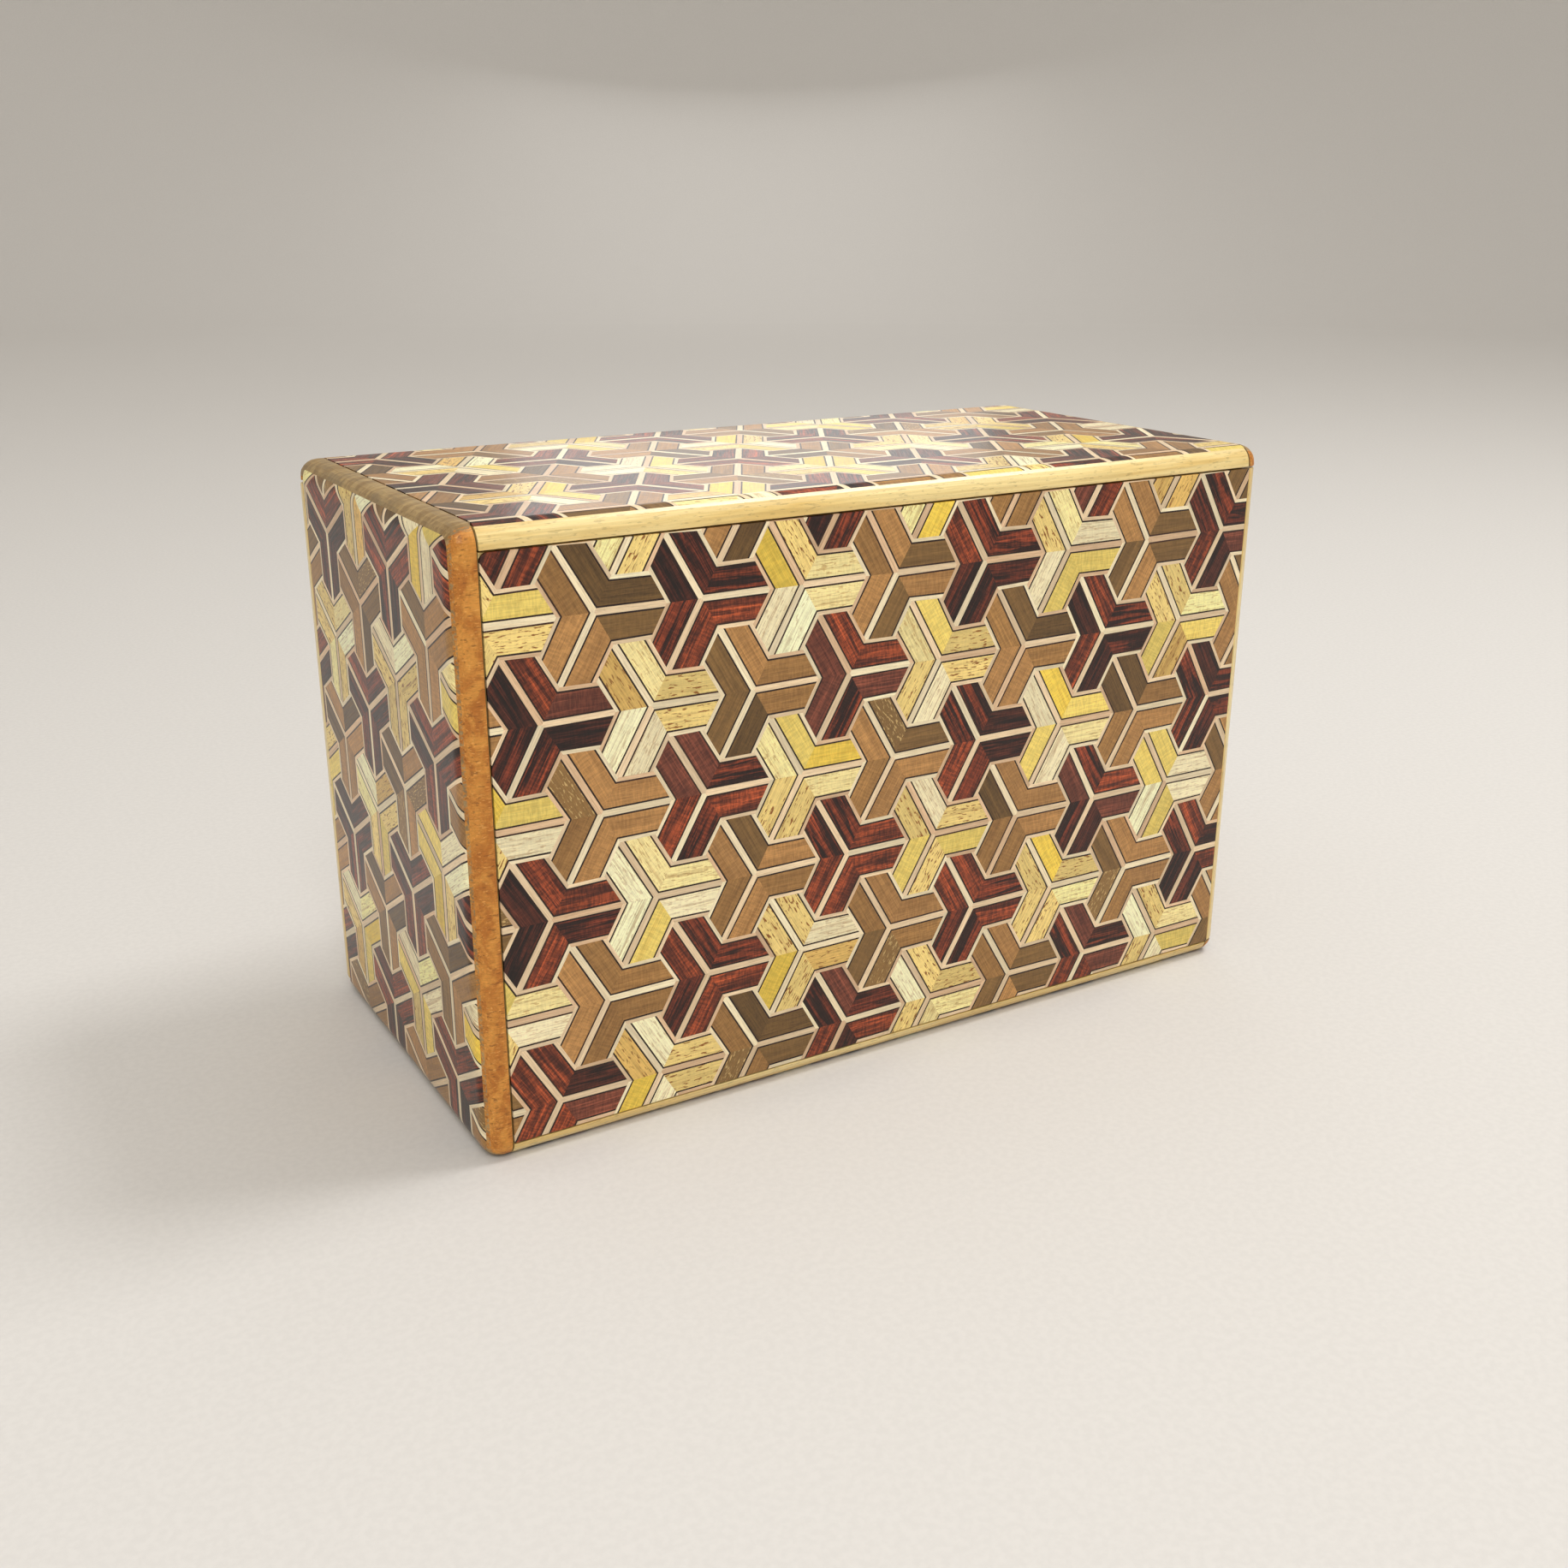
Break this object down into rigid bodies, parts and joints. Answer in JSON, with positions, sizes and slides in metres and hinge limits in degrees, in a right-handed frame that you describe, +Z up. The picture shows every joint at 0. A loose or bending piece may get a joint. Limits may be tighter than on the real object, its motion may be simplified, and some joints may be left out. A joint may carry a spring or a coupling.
{
  "type": "wooden puzzle box",
  "caption": "Wooden secret box veneered in hexagonal marquetry. Its end plates and base slip a little to free the lid, which slides off a hidden compartment.",
  "frame": {"origin": "centre of the resting face, the marquetry face of the lower long side", "axes": "+X along the box's length, the way the lid slides open; +Y from the lid to the base; +Z up across the width"},
  "size_m": [0.151, 0.073, 0.098],
  "materials": {
    "marquetry": "satin lacquer over mixed dark, brown and pale woods",
    "cream_wood": "satin lacquer",
    "orange_end_wood": "satin lacquer, end grain at the front",
    "inner_wood": "planed, unfinished",
    "runner_wood": "planed hardwood, waxed"
  },
  "bodies": {
    "carcass": {"upper_side_board": "cream_wood", "upper_side_veneer": "marquetry", "lower_side_board": "cream_wood", "lower_side_veneer": "marquetry", "left_inner_wall": "inner_wood", "right_inner_wall": "inner_wood", "inner_floor": "inner_wood", "left_rail_upper": "runner_wood", "left_rail_lower": "runner_wood", "right_rail_upper": "runner_wood", "right_rail_lower": "runner_wood", "left_stop_peg": "runner_wood", "right_stop_peg": "runner_wood", "base_stop_peg": "runner_wood"},
    "left_end": {"left_end_board": "orange_end_wood", "left_end_veneer": "marquetry", "left_key": "runner_wood"},
    "right_end": {"right_end_board": "orange_end_wood", "right_end_veneer": "marquetry", "right_key": "runner_wood"},
    "lid": {"lid_board": "cream_wood", "lid_veneer": "marquetry", "lid_lipping": "cream_wood", "lid_tongue_upper": "runner_wood", "lid_tongue_lower": "runner_wood"},
    "base": {"base_board": "cream_wood", "base_veneer": "marquetry", "base_lipping": "cream_wood", "base_tongue_upper": "runner_wood", "base_tongue_lower": "runner_wood", "base_key": "runner_wood"}
  },
  "joints": [
    {"name": "left_end_slide", "type": "slide", "parent": "carcass", "child": "left_end", "axis": [0, -1, 0], "range_m": [0, 0.0045]},
    {"name": "base_slide", "type": "slide", "parent": "carcass", "child": "base", "axis": [-1, 0, 0], "range_m": [0, 0.0045]},
    {"name": "right_end_slide", "type": "slide", "parent": "carcass", "child": "right_end", "axis": [0, 1, 0], "range_m": [0, 0.0045]},
    {"name": "lid_slide", "type": "slide", "parent": "carcass", "child": "lid", "axis": [1, 0, 0], "range_m": [0, 0.112]}
  ]
}
